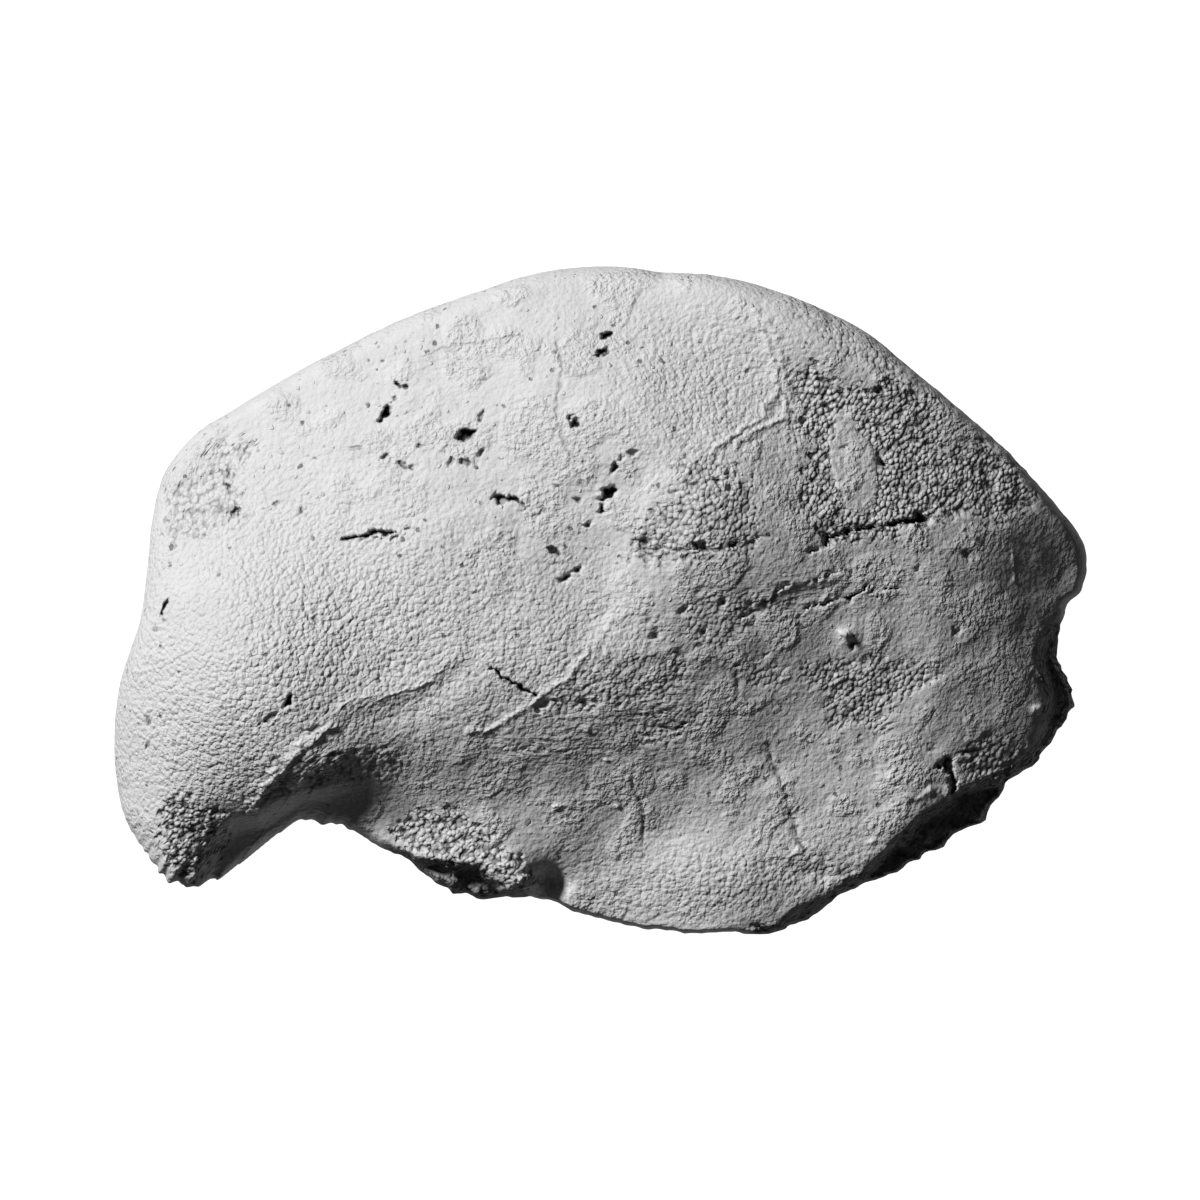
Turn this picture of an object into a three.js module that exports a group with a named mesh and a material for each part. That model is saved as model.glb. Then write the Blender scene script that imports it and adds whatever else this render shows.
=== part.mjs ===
// Fossil gastropod: the stone filling of a low, cap-like shell, weathered free as one natural piece.
// It lies with its convex side up, on a small flat spot under its middle.
// Millimetres, +Z up, +X along its length. The origin is on the surface that the stone rests on,
// under the middle of its outline.
import * as THREE from 'three';

// Driving dimensions
const roofHeight = 13.4;     // the convex side above the resting surface, at the origin
const tiltX = -0.10;         // rise per mm towards +X
const tiltY = 0.01;          // rise per mm towards +Y
const bendX = 0.018;         // how fast the roof falls away along X
const bendY = 0.0195;        // and along Y
const twist = 0.0083;
const edgeRound = 1.2;       // height over which the convex side rolls over into the hidden side
const edgeBand = 0.04;       // width of that roll, as a share of the way from the middle to the outline
const edgeBandMore = 0.028;  // how much wider the roll is at the upper left, and narrower at the lower right
const edgeBandTurn = 141;    // direction of the widest roll, in degrees
const hiddenBulge = 1.08;    // the hidden side would reach this share of its depth, but is worn flat
const hiddenOval = [15.2, 10.5];  // half sizes of the plain oval that the hidden side smooths out to
const middle = [-1.35, 0.35];      // of the hidden side, and of its flat spot
const roofMiddle = [-3, 0.35];     // of the convex side
const bow = 0.06;            // the lobe hangs down: the plan bends along a curve of this strength
const bowStart = -5;         // that starts here and grows towards the lobe

// The outline, seen from above, counterclockwise from the right end
const outline = [
  [16.3, 0.35], [16.5, 1.6], [15.85, 2.75], [14.95, 3.8], [13.7, 5.15], [12.25, 6.4], [10.55, 7.8],
  [9, 9.05], [7.25, 9.95], [5.55, 10.6], [3.8, 11], [2.15, 11.1], [0.55, 11.3], [-1, 11.25],
  [-2.5, 11], [-3.9, 10.55], [-6.65, 9.55], [-9.45, 8.2], [-11, 7.35], [-12.65, 6.35],
  [-13.55, 5.8], [-14.3, 5.05], [-14.85, 4.2], [-15.2, 2.8], [-15.35, 1.3], [-15.6, -0.65],
  [-15.95, -1.7], [-16.3, -2.8], [-16.5, -4.55], [-16.4, -6.35], [-16.1, -7.45], [-15.5, -8.5],
  [-14.75, -9.35], [-13.85, -9.65], [-12.85, -9.35], [-11.8, -8.5], [-11, -7.95], [-10.15, -7.38],
  [-8.65, -7.75], [-7.35, -8.45], [-6.6, -8.7], [-6.05, -9.25], [-4.75, -9.95], [-3.2, -10.05],
  [-1.7, -10.15], [-1, -10.5], [0.6, -10.95], [3.35, -11.3], [4.3, -11.2], [5.55, -11.3],
  [7.25, -10.65], [8, -10.05], [10, -9.2], [12.05, -8.05], [13.2, -7.15], [13.65, -6.3],
  [14.75, -5.5], [15.55, -4.5], [16, -3.35], [15.9, -2.65], [15.55, -2.05], [15.65, -0.85],
  [15.8, -0.2],
];

// Broad swells and hollows of the convex side: centre, half sizes, turn in degrees, rise
const swells = [
  { name: 'summit', x: 2.5, y: 4.5, long: 6, short: 2.5, turn: -40, rise: 0.87 },
  { name: 'left lobe', x: -12, y: -2.5, long: 3.5, short: 4, turn: 15, rise: 1.92 },
  { name: 'hollow under the lobe', x: -7, y: -8, long: 6, short: 2, turn: 25, rise: -1.37 },
  { name: 'wall below the crest', x: -1, y: -10.5, long: 7.5, short: 4, turn: 45, rise: -2.4 },
  { name: 'trough right of the crest', x: 7.5, y: -4.5, long: 5.5, short: 3.5, turn: 80, rise: -0.74 },
  { name: 'tip of the lobe', x: -12, y: -9, long: 2, short: 2, turn: 0, rise: -1.7 },
  { name: 'right shoulder', x: 16, y: -1, long: 2, short: 4, turn: 10, rise: -0.76 },
  { name: 'upper brow', x: 7, y: 9, long: 5, short: 1.5, turn: -25, rise: 0.9 },
  { name: 'back of the lobe', x: -6, y: 2, long: 2.5, short: 3, turn: 0, rise: 0.32 },
  { name: 'lip of the hollow', x: -8.5, y: -7, long: 3.5, short: 1.5, turn: 30, rise: -0.52 },
  { name: 'lower flare', x: 3, y: -9.5, long: 4, short: 1.5, turn: 0, rise: 0.33 },
  { name: 'tubercle on the rim', x: -2.65, y: -9.6, long: 0.5, short: 0.4, turn: 0, rise: 0.35 },
  { name: 'pocket beside it', x: -1.75, y: -9.6, long: 0.5, short: 0.5, turn: -15, rise: -1.1 },
  { name: 'knob on the crest', x: 0.3, y: -0.7, long: 0.4, short: 0.4, turn: 0, rise: 0.1 },
  { name: 'knob on the flank', x: 8.3, y: -1.25, long: 0.4, short: 0.4, turn: 0, rise: 0.14 },
  { name: 'knob on the flare', x: -1.4, y: -7.05, long: 0.4, short: 0.4, turn: 0, rise: 0.12 },
  { name: 'shelf above the hollow', x: -9.6, y: -5.45, long: 1.3, short: 0.6, turn: 20, rise: 0.22 },
  { name: 'lump above the broken edge', x: -3.05, y: -9.05, long: 0.7, short: 0.5, turn: -30, rise: 0.4 },
  { name: 'right end of the brow', x: 9.8, y: 7.2, long: 2, short: 1.4, turn: -40, rise: 0.2 },
  { name: 'foot of the bare patch', x: 9.7, y: 2.6, long: 1.2, short: 0.8, turn: 0, rise: 0.12 },
  { name: 'left shoulder', x: -17.2, y: -6.5, long: 1.8, short: 4, turn: 0, rise: -1.1 },
  { name: 'right corner', x: 16.5, y: 1.2, long: 3.2, short: 2.2, turn: 0, rise: -0.4 },
  { name: 'right lip of the flare', x: 10.2, y: -8.6, long: 2.5, short: 2.5, turn: 0, rise: 0.3 },
];

// Long ridges (rise above 0) and grooves (rise below 0) with a rounded section
const folds = [
  { name: 'groove along the crest', half: 0.65, rise: -0.1,
    path: [[3.05, 5.4], [1.35, 4.05], [0.4, 2.05], [-0.05, -0.15], [-0.6, -1.5], [-1.4, -2.45],
      [-2.7, -3.2], [-4.1, -3.9], [-5, -4.1]] },
  { name: 'furrow left of the crest', half: 1.3, rise: -0.2,
    path: [[1.35, 4.75], [-0.15, 3.05], [-0.55, 1.35], [-0.6, -0.35]] },
  { name: 'slope of the crest', half: 1.75, rise: 0.17,
    path: [[3.4, 3.4], [2.05, 0.7], [1, -1.35], [-1, -3.4], [-4.05, -4.9]] },
  { name: 'edge of the slope', half: 0.9, rise: -0.08,
    path: [[3.9, 4.65], [2.3, 3.4], [1.45, 1.7], [1.1, -0.5], [0.4, -2.2], [-0.7, -3.4],
      [-2.05, -4.1], [-3.55, -4.8]] },
  { name: 'muscle line on the lobe', half: 0.45, rise: 0.1,
    path: [[-5.1, -1.95], [-6, -2.75], [-7.7, -3.35], [-8.85, -3.7], [-9.85, -4.6], [-11.05, -5.8],
      [-11.6, -6.75]] },
  { name: 'groove below the muscle line', half: 0.55, rise: -0.1,
    path: [[-5.1, -2.55], [-6, -3.4], [-7.7, -3.95]] },
  { name: 'gutter along the right end', half: 1.15, rise: -0.04,
    path: [[13.85, 2.7], [13.7, 0], [13.5, -2.7]] },
  { name: 'rib inside the gutter', half: 0.86, rise: 0.06,
    path: [[11, 2.05], [11.4, -0.7], [11.15, -3.4]] },
  { name: 'welt around the scar', half: 1.35, rise: 0.09,
    path: [[3.4, 10.8], [5.55, 9.45], [6.25, 7.1], [4.75, 5.75]] },
  { name: 'left crack', half: 0.3, rise: -0.15,
    path: [[-8.8, 2.3], [-7.25, 2.15], [-6.35, 2.45]] },
  { name: 'middle crack', half: 0.3, rise: -0.12,
    path: [[1.35, 1.85], [3.35, 1.8], [4.75, 1.9], [5.7, 2.25]] },
  { name: 'right crack', half: 0.3, rise: -0.12,
    path: [[7.75, 2.15], [8.7, 2.45], [10, 2.6], [10.65, 2.75]] },
  { name: 'crack across the crest foot', half: 0.3, rise: -0.12,
    path: [[-3.8, -2.25], [-2.1, -3.2], [-1.35, -3.5], [0.25, -3.4]] },
];

// Ledges and broken edges: the ground right of the path, walking along it, lies lower
const ledges = [
  { name: 'broken rim, lower right', drop: 1.2, slope: 0.5, reach: 50,
    path: [[4.45, -10.9], [6, -10.75], [7.35, -10.05], [9.05, -8.9], [9.95, -8.1], [10.55, -7.35],
      [11.65, -6.6], [12.55, -6.15], [13.4, -5.95], [14.55, -4.9], [14.9, -4], [15, -3.2],
      [14.75, -2.4], [14.6, -1.7], [15, -1], [15.35, -0.3]] },
  { name: 'broken rim, lower left', drop: 1.0, slope: 0.5, reach: 50,
    path: [[-8.2, -7.95], [-7.4, -8.25], [-6.6, -8.4], [-6.05, -8.55], [-5.4, -8.7], [-4.55, -8.8],
      [-3.9, -8.95], [-3.55, -9.2], [-3.2, -9.6], [-2.85, -9.75], [-2.3, -9.75]] },
  { name: 'flank of the lobe', drop: 1.4, slope: 0.7, reach: 50, fade: 0.35,
    path: [[-13.8, -11.5], [-13.85, -10.3], [-13.8, -9.1], [-13.3, -7.95], [-12.5, -7.2], [-11.65, -7.15],
      [-10.4, -6.4], [-9.55, -6.25], [-8.45, -6.1], [-7.45, -5.95]] },
  { name: 'ledge below the middle crack', drop: 0.15, slope: 0.3, reach: 1.2,
    path: [[4.75, -0.1], [5.7, 0.05], [5.9, 0.35], [6.55, 0.6], [8.55, 0.9]] },
  { name: 'ledge on the flare', drop: 0.15, slope: 0.3, reach: 1.2,
    path: [[5.35, -8.5], [6.8, -8.9], [7.9, -9.1]] },
];

// Solution pits: centre, radius, depth
const pits = [
  [-4.55, 5.65, 0.4, 0.35], [0.15, 3.65, 0.4, 0.35], [-7.3, 6.3, 0.4, 0.25], [-6.75, 7.35, 0.4, 0.2],
  [0.2, 8.95, 0.35, 0.2], [-0.9, 6, 0.35, 0.2], [-1.6, 1.6, 0.35, 0.2], [-2.95, 3.35, 0.35, 0.2],
  [-4.55, 4.85, 0.35, 0.15], [-6.45, 4.65, 0.35, 0.15], [0.55, 4.35, 0.35, 0.2],
  [3.3, 3.8, 0.35, 0.2], [6.8, 6.1, 0.35, 0.2], [8.2, 5.1, 0.35, 0.2], [7.6, 6.55, 0.35, 0.15],
  [1.4, 8.55, 0.35, 0.15],
];

// Hollows of the hidden side, pushed up into the stone
const dents = [
  { name: 'hollow towards the lobe', x: -10, y: 4, long: 3, short: 2, turn: 20, rise: 0.4 },
  { name: 'hollow towards the right end', x: 8, y: 5, long: 3, short: 2, turn: -25, rise: 0.4 },
  { name: 'hollow below the flare', x: 5, y: -7, long: 3, short: 1.5, turn: 20, rise: 0.4 },
];

// Worn breaks that cut the hidden side's bulge flat: a point on each, and its slopes
const breaks = [
  { name: 'break towards the right end', x: 5, y: 0, height: 0, slopeX: 0.26, slopeY: 0.06 },
  { name: 'break towards the lobe', x: -7.3, y: 0, height: 0, slopeX: -0.5, slopeY: 0.05 },
  { name: 'break below the flare', x: 0, y: -4, height: 0, slopeX: 0.06, slopeY: -0.55 },
  { name: 'break below the brow', x: 0, y: 4.8, height: 0, slopeX: -0.04, slopeY: 0.7 },
];
const breakRound = 0.4;      // rounding of the edges between them

// Rings of points: close together on the convex side, wider on the hidden one
const innerRings = 30;
const pointsPerRing = 6;
const rollRings = 4;
const hiddenRings = 15;

function bump(form, x, y) {
  const turn = THREE.MathUtils.degToRad(form.turn);
  const dx = x - form.x;
  const dy = y - form.y;
  const u = (dx * Math.cos(turn) + dy * Math.sin(turn)) / form.long;
  const v = (dy * Math.cos(turn) - dx * Math.sin(turn)) / form.short;
  return form.rise * Math.exp(-u * u - v * v);
}

// The point of a path nearest to x, y: how far it is, how far right of the path x, y lies,
// and a fade that brings a ledge in over the first and last part of its path
function nearest(path, x, y, ends = 0.1) {
  let best = { distance: Infinity };
  for (let i = 0; i + 1 < path.length; i += 1) {
    const [ax, ay] = path[i];
    const dx = path[i + 1][0] - ax;
    const dy = path[i + 1][1] - ay;
    const share = THREE.MathUtils.clamp(((x - ax) * dx + (y - ay) * dy) / (dx * dx + dy * dy), 0, 1);
    const distance = Math.hypot(x - ax - share * dx, y - ay - share * dy);
    if (distance < best.distance) {
      const right = (x - ax) * dy - (y - ay) * dx > 0 ? distance : -distance;
      best = { distance, right, along: (i + share) / (path.length - 1) };
    }
  }
  best.fade = THREE.MathUtils.smoothstep(Math.min(best.along, 1 - best.along), 0, ends);
  return best;
}

// Height of the plain, gently domed slab that the convex side's forms stand on
function slab(x, y) {
  return roofHeight + tiltX * x + tiltY * y - bendX * x * x - bendY * y * y + twist * x * y;
}

// Height of the convex side before it rolls over at the edge
function roof(x, y) {
  let z = slab(x, y);
  for (const form of swells) {
    z += bump(form, x, y);
  }
  for (const fold of folds) {
    const near = nearest(fold.path, x, y);
    z += fold.rise * Math.exp(-((near.distance / fold.half) ** 2));
  }
  for (const ledge of ledges) {
    const near = nearest(ledge.path, x, y, ledge.fade);
    const lower = THREE.MathUtils.smoothstep(near.right, 0, ledge.slope) * Math.exp(-near.distance / ledge.reach);
    z -= ledge.drop * lower * near.fade;
  }
  for (const [px, py, radius, depth] of pits) {
    z -= depth * Math.exp(-((x - px) ** 2 + (y - py) ** 2) / (radius * radius));
  }
  return z;
}

const rim = new THREE.CatmullRomCurve3(
  outline.map(([x, y]) => new THREE.Vector3(x, y, 0)),
  true,
  'centripetal',
);
rim.arcLengthDivisions = 2000;

const points = [];
const triangles = [];

// How far a point of the plan moves up when the bend towards the lobe is straightened
function straighten(x) {
  return bow * Math.max(0, bowStart - x) ** 2;
}

// Directions and distances of the outline from the convex side's middle, in the straightened plan
const rays = [];
const rayCount = 720;
for (let i = 0; i < rayCount; i += 1) {
  const edge = rim.getPointAt(i / rayCount);
  const dx = edge.x - roofMiddle[0];
  const dy = edge.y + straighten(edge.x) - roofMiddle[1];
  const last = i > 0 ? rays[i - 1].turn : 0;
  const step = Math.atan2(dy, dx) - last;
  rays.push({ turn: last + Math.atan2(Math.sin(step), Math.cos(step)), reach: Math.hypot(dx, dy) });
}

function turnAt(along) {
  const at = Math.min(Math.floor(along * rayCount), rayCount - 1);
  const next = at + 1 < rayCount ? rays[at + 1].turn : rays[0].turn + 2 * Math.PI;
  return THREE.MathUtils.lerp(rays[at].turn, next, along * rayCount - at);
}

function reachAt(turn) {
  const from = rays[0].turn;
  const t = from + THREE.MathUtils.euclideanModulo(turn - from, 2 * Math.PI);
  let i = 0;
  while (i + 1 < rayCount && rays[i + 1].turn <= t) {
    i += 1;
  }
  const a = rays[i];
  const b = i + 1 < rayCount ? rays[i + 1] : { turn: from + 2 * Math.PI, reach: rays[0].reach };
  return THREE.MathUtils.lerp(a.reach, b.reach, (t - a.turn) / (b.turn - a.turn));
}

// One ring of the convex side, a given share of the way out from its middle to the outline. The
// lines from the middle follow the plan's bend, so they never run along the outline, and they
// spread evenly near the middle.
function addRoofRing(count, share, height) {
  const first = points.length;
  for (let i = 0; i < count; i += 1) {
    const even = rays[0].turn + (2 * Math.PI * i) / count;
    const outer = turnAt(i / count);
    const turn = THREE.MathUtils.lerp(even, outer, share(outer) ** 4);
    const out = share(turn) * reachAt(turn);
    const x = roofMiddle[0] + out * Math.cos(turn);
    const y = roofMiddle[1] + out * Math.sin(turn) - straighten(x);
    points.push([x, y, height(x, y)]);
  }
  return { first, count };
}

// The band of triangles between two rings, facing up or down
function joinRings(outer, inner, up) {
  let i = 0;
  let j = 0;
  while (i < outer.count || j < inner.count) {
    const a = outer.first + (i % outer.count);
    const b = inner.first + (j % inner.count);
    let third;
    if (j >= inner.count || (i < outer.count && (i + 1) / outer.count <= (j + 1) / inner.count)) {
      i += 1;
      third = outer.first + (i % outer.count);
    } else {
      j += 1;
      third = inner.first + (j % inner.count);
    }
    triangles.push(...(up ? [a, third, b] : [a, b, third]));
  }
}

// The fan of triangles that closes the smallest ring on a middle point
function closeRing(ring, tipPoint, up) {
  const tip = points.length;
  points.push(tipPoint);
  for (let i = 0; i < ring.count; i += 1) {
    const a = ring.first + i;
    const b = ring.first + ((i + 1) % ring.count);
    triangles.push(...(up ? [a, b, tip] : [a, tip, b]));
  }
}

function rimHeight(edge) {
  return roof(edge.x, edge.y) - edgeRound;
}

function bandAt(turn) {
  return edgeBand + edgeBandMore * Math.cos(turn - THREE.MathUtils.degToRad(edgeBandTurn));
}

// Convex side: rings inwards from the rim, first around the rolled edge, then over the roof
const rimRing = addRoofRing(innerRings * pointsPerRing, () => 1, (x, y) => rimHeight({ x, y }));
let ring = rimRing;
for (let k = 1; k <= rollRings; k += 1) {
  const roll = (Math.PI / 2) * (1 - k / rollRings);
  const share = (turn) => 1 - bandAt(turn) + bandAt(turn) * Math.sin(roll);
  const drop = edgeRound * (1 - Math.cos(roll));
  const next = addRoofRing(ring.count, share, (x, y) => roof(x, y) - drop);
  joinRings(ring, next, true);
  ring = next;
}
for (let k = innerRings - 1; k >= 1; k -= 1) {
  const next = addRoofRing(pointsPerRing * k, (turn) => (1 - bandAt(turn)) * (k / innerRings), roof);
  joinRings(ring, next, true);
  ring = next;
}
closeRing(ring, [...roofMiddle, roof(...roofMiddle)], true);

// Directions from the hidden side's middle to the outline, evened out along it so that they never
// turn back, also where the outline itself does
const directions = 720;
const evened = 29;
const raw = [];
for (let i = 0; i < directions; i += 1) {
  const edge = rim.getPointAt(i / directions);
  const angle = Math.atan2(edge.y - middle[1], edge.x - middle[0]) - (2 * Math.PI * i) / directions;
  raw.push(Math.atan2(Math.sin(angle), Math.cos(angle)));
}

function direction(along) {
  const at = Math.round(along * directions);
  let sum = 0;
  for (let i = -evened; i <= evened; i += 1) {
    sum += raw[(at + i + directions) % directions];
  }
  return 2 * Math.PI * along + sum / (2 * evened + 1);
}

// The point of the plain oval that a point of the outline is led to on the hidden side
function ovalPoint(along) {
  const turn = direction(along);
  const reach = 1 / Math.hypot(Math.cos(turn) / hiddenOval[0], Math.sin(turn) / hiddenOval[1]);
  return new THREE.Vector3(middle[0] + Math.cos(turn) * reach, middle[1] + Math.sin(turn) * reach, 0);
}

// Height of the hidden side, an angle of 0 at the rim and a right angle under the middle
function hiddenHeight(x, y, height, angle) {
  const bowl = height * (1 - hiddenBulge * Math.sin(angle));
  if (bowl <= 0) {
    return 0;
  }
  const inside = Math.sin(2 * angle);
  let z = bowl + inside * dents.reduce((sum, form) => sum + bump(form, x, y), 0);
  for (const cut of breaks) {
    const above = cut.height + cut.slopeX * (x - cut.x) + cut.slopeY * (y - cut.y) - z;
    z += inside * 0.5 * (above + Math.hypot(above, breakRound));
  }
  return z;
}

// One ring of the hidden side, on lines that lead from the outline to the plain oval and inwards
function addHiddenRing(count, angle, plain) {
  const first = points.length;
  for (let i = 0; i < count; i += 1) {
    const edge = rim.getPointAt(i / count);
    const oval = ovalPoint(i / count);
    const outer = edge.clone().lerp(oval, plain);
    const x = middle[0] + Math.cos(angle) * (outer.x - middle[0]);
    const y = middle[1] + Math.cos(angle) * (outer.y - middle[1]);
    const ovalHeight = slab(oval.x, oval.y) - edgeRound;
    points.push([x, y, hiddenHeight(x, y, THREE.MathUtils.lerp(rimHeight(edge), ovalHeight, plain), angle)]);
  }
  return { first, count };
}

// Hidden side: a worn bowl from the rim down to the flat spot that the stone rests on
ring = rimRing;
for (let k = 1; k < hiddenRings; k += 1) {
  const count = (rimRing.count / hiddenRings) * (hiddenRings - k);
  const plain = THREE.MathUtils.smoothstep(k / hiddenRings, 0, 0.6);
  const next = addHiddenRing(count, (Math.PI / 2) * (k / hiddenRings), plain);
  joinRings(ring, next, false);
  ring = next;
}
closeRing(ring, [...middle, 0], false);

const geometry = new THREE.BufferGeometry();
geometry.setAttribute('position', new THREE.Float32BufferAttribute(points.flat(), 3));
geometry.setIndex(triangles);
geometry.computeVertexNormals();

const stone = new THREE.MeshStandardMaterial({ color: 0xcdccc9, roughness: 0.9, metalness: 0 });
const fossil = new THREE.Mesh(geometry, stone);
fossil.name = 'fossil';

const group = new THREE.Group();
group.add(fossil);
export default group;
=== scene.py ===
import math

import bmesh
import bpy
import numpy as np
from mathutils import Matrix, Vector


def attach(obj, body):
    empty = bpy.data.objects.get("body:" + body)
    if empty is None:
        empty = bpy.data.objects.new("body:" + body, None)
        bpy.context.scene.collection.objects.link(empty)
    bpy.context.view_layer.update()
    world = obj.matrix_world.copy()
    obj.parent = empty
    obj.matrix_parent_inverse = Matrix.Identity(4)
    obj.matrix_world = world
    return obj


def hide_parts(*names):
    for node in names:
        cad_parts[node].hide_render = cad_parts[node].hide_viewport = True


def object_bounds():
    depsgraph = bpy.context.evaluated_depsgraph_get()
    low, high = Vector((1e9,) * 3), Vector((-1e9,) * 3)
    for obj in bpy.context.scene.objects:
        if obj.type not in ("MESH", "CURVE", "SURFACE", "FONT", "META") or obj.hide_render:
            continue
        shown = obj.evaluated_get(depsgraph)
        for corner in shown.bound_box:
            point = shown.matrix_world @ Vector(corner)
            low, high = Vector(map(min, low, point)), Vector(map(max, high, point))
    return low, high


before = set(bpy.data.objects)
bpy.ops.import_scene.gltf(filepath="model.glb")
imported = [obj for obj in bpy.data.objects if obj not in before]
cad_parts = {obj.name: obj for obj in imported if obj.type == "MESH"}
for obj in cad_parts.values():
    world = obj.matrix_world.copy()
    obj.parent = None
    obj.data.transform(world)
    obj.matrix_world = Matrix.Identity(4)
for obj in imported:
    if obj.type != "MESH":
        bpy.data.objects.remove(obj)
cad_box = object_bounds()

# The stone's plain shape
# The fossil is one stone: the rock that filled a low, cap-like shell. Its convex side carries the
# shell's forms, and its hidden side is a worn break. Sizes here are millimetres, as on a drawing;
# MILLIMETRE turns them into metres where the mesh is made.
MILLIMETRE = 0.001

ROOF_HEIGHT = 13.4      # the convex side above the floor, at the origin
TILT = (-0.10, 0.01)    # its rise per millimetre towards +X and +Y
BEND = (0.018, 0.0195)  # how fast it falls away along X and Y
TWIST = 0.0083
EDGE_ROUND = 1.2        # height over which it rolls over into the hidden side
ROLL_FROM = 0.92        # how far out on the ball that roll starts
EDGE_BAND = 0.04        # width of the rolled edge, as a share of the way out
EDGE_BAND_LIT = 0.028   # how much wider it is on the upper left, and narrower on the lower right
LIT_TURN = math.radians(141)
MIDDLE = (-1.35, 0.35)  # of the hidden side, and of its flat spot
ROOF_MIDDLE = (-3, 0.35)
BOW = 0.06              # the lobe hangs down: its plan bends along a curve that starts at BOW_START
BOW_START = -5
HIDDEN_BULGE = 1.08     # the hidden side would reach this share of its depth, but is worn flat
HIDDEN_OVAL = (15.2, 10.5)      # half sizes of the plain oval that it smooths out to
OVAL_AT = 0.6           # how far under, as a share, it has become that oval
BREAK_ROUND = 0.4       # rounding of the edges between its breaks
EVEN_RUN = 60           # points of the rim on either side that a hidden guide line's angle is evened over
RAGGED_EDGE = 0.03      # how crumbled the outline is everywhere
CELLS = 64              # random numbers along each side of a noise table

OUTLINE = [
    (16.3, 0.35), (16.5, 1.6), (15.85, 2.75), (14.95, 3.8), (13.7, 5.15), (12.25, 6.4), (10.55, 7.8),
    (9, 9.05), (7.25, 9.95), (5.55, 10.6), (3.8, 11), (2.15, 11.1), (0.55, 11.3), (-1, 11.25),
    (-2.5, 11), (-3.9, 10.55), (-6.65, 9.55), (-9.45, 8.2), (-11, 7.35), (-12.65, 6.35), (-13.55, 5.8),
    (-14.3, 5.05), (-14.85, 4.2), (-15.2, 2.8), (-15.35, 1.3), (-15.6, -0.65), (-15.95, -1.7),
    (-16.3, -2.8), (-16.5, -4.55), (-16.4, -6.35), (-16.1, -7.45), (-15.5, -8.5), (-14.75, -9.35),
    (-13.85, -9.65), (-12.85, -9.35), (-11.8, -8.5), (-11, -7.95), (-10.15, -7.38), (-9.45, -7.55),
    (-8.65, -7.68), (-7.35, -8.45), (-6.6, -8.7), (-6.05, -9.25), (-4.75, -9.95), (-3.2, -10.05),
    (-1.7, -10.15), (-1, -10.5), (0.6, -10.95), (3.35, -11.3), (4.3, -11.2), (5.55, -11.3),
    (7.25, -10.65), (8, -10.05), (10, -9.2), (12.05, -8.05), (13.2, -7.15), (13.65, -6.3),
    (14.75, -5.5), (15.55, -4.5), (16, -3.35), (15.9, -2.65), (15.55, -2.05), (15.65, -0.85),
    (15.8, -0.2),
]

# Broad forms of the convex side: x, y, half sizes, turn in degrees, rise
SWELLS = [
    (2.5, 4.5, 6, 2.5, -40, 0.87),       # summit
    (-12, -2.5, 3.5, 4, 15, 1.92),       # left lobe
    (-7, -8, 6, 2, 25, -1.37),           # hollow under the lobe
    (-1, -10.5, 7.5, 4, 45, -2.4),       # wall below the crest
    (7.5, -4.5, 5.5, 3.5, 80, -0.74),    # trough right of the crest
    (-12, -9, 2, 2, 0, -1.7),            # tip of the lobe
    (16, -1, 2, 4, 10, -0.76),           # right shoulder
    (7, 9, 5, 1.5, -25, 0.9),            # upper brow
    (-6, 2, 2.5, 3, 0, 0.32),            # back of the lobe
    (-8.5, -7, 3.5, 1.5, 30, -0.52),     # lip of the hollow
    (3, -9.5, 4, 1.5, 0, 0.33),          # lower flare
    (-2.65, -9.6, 0.5, 0.4, 0, 0.35),    # tubercle on the rim
    (-1.75, -9.6, 0.5, 0.5, -15, -1.1),  # pocket beside it
    (8.3, -1.25, 0.4, 0.4, 0, 0.14),     # knob on the flank
    (-9.6, -5.45, 1.3, 0.6, 20, 0.22),   # shelf above the hollow
    (-3.05, -9.05, 0.7, 0.5, -30, 0.4),  # lump above the broken edge
    (9.8, 7.2, 2, 1.4, -40, 0.2),        # right end of the brow
    (9.7, 2.6, 1.2, 0.8, 0, 0.12),       # foot of the bare patch
    (-17.2, -6.5, 1.8, 4, 0, -1.1),      # left shoulder
    (16.5, 1.2, 3.2, 2.2, 0, -0.4),      # right corner
    (10.2, -8.6, 2.5, 2.5, 0, 0.3),      # right lip of the flare
]

# Long soft ridges and grooves: half width, rise, path
FOLDS = [
    (0.65, -0.1, [(3.05, 5.4), (1.35, 4.05), (0.4, 2.05), (-0.05, -0.15), (-0.6, -1.5), (-1.4, -2.45),
                  (-2.7, -3.2), (-4.1, -3.9), (-5, -4.1)]),
    (1.3, -0.2, [(1.35, 4.75), (-0.15, 3.05), (-0.55, 1.35), (-0.6, -0.35)]),
    (1.75, 0.17, [(3.4, 3.4), (2.05, 0.7), (1, -1.35), (-1, -3.4), (-4.05, -4.9)]),
    (0.9, -0.08, [(3.9, 4.65), (2.3, 3.4), (1.45, 1.7), (1.1, -0.5), (0.4, -2.2), (-0.7, -3.4),
                  (-2.05, -4.1), (-3.55, -4.8)]),
    (0.45, 0.1, [(-5.1, -1.95), (-6, -2.75), (-7.7, -3.35), (-8.85, -3.7), (-9.85, -4.6),
                 (-11.05, -5.8), (-11.6, -6.75)]),
    (0.55, -0.1, [(-5.1, -2.55), (-6, -3.4), (-7.7, -3.95)]),
    (1.15, -0.04, [(13.85, 2.7), (13.7, 0), (13.5, -2.7)]),
    (0.86, 0.06, [(11, 2.05), (11.4, -0.7), (11.15, -3.4)]),
    (1.35, 0.09, [(3.4, 10.8), (5.55, 9.45), (6.25, 7.1), (4.75, 5.75)]),
]

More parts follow.
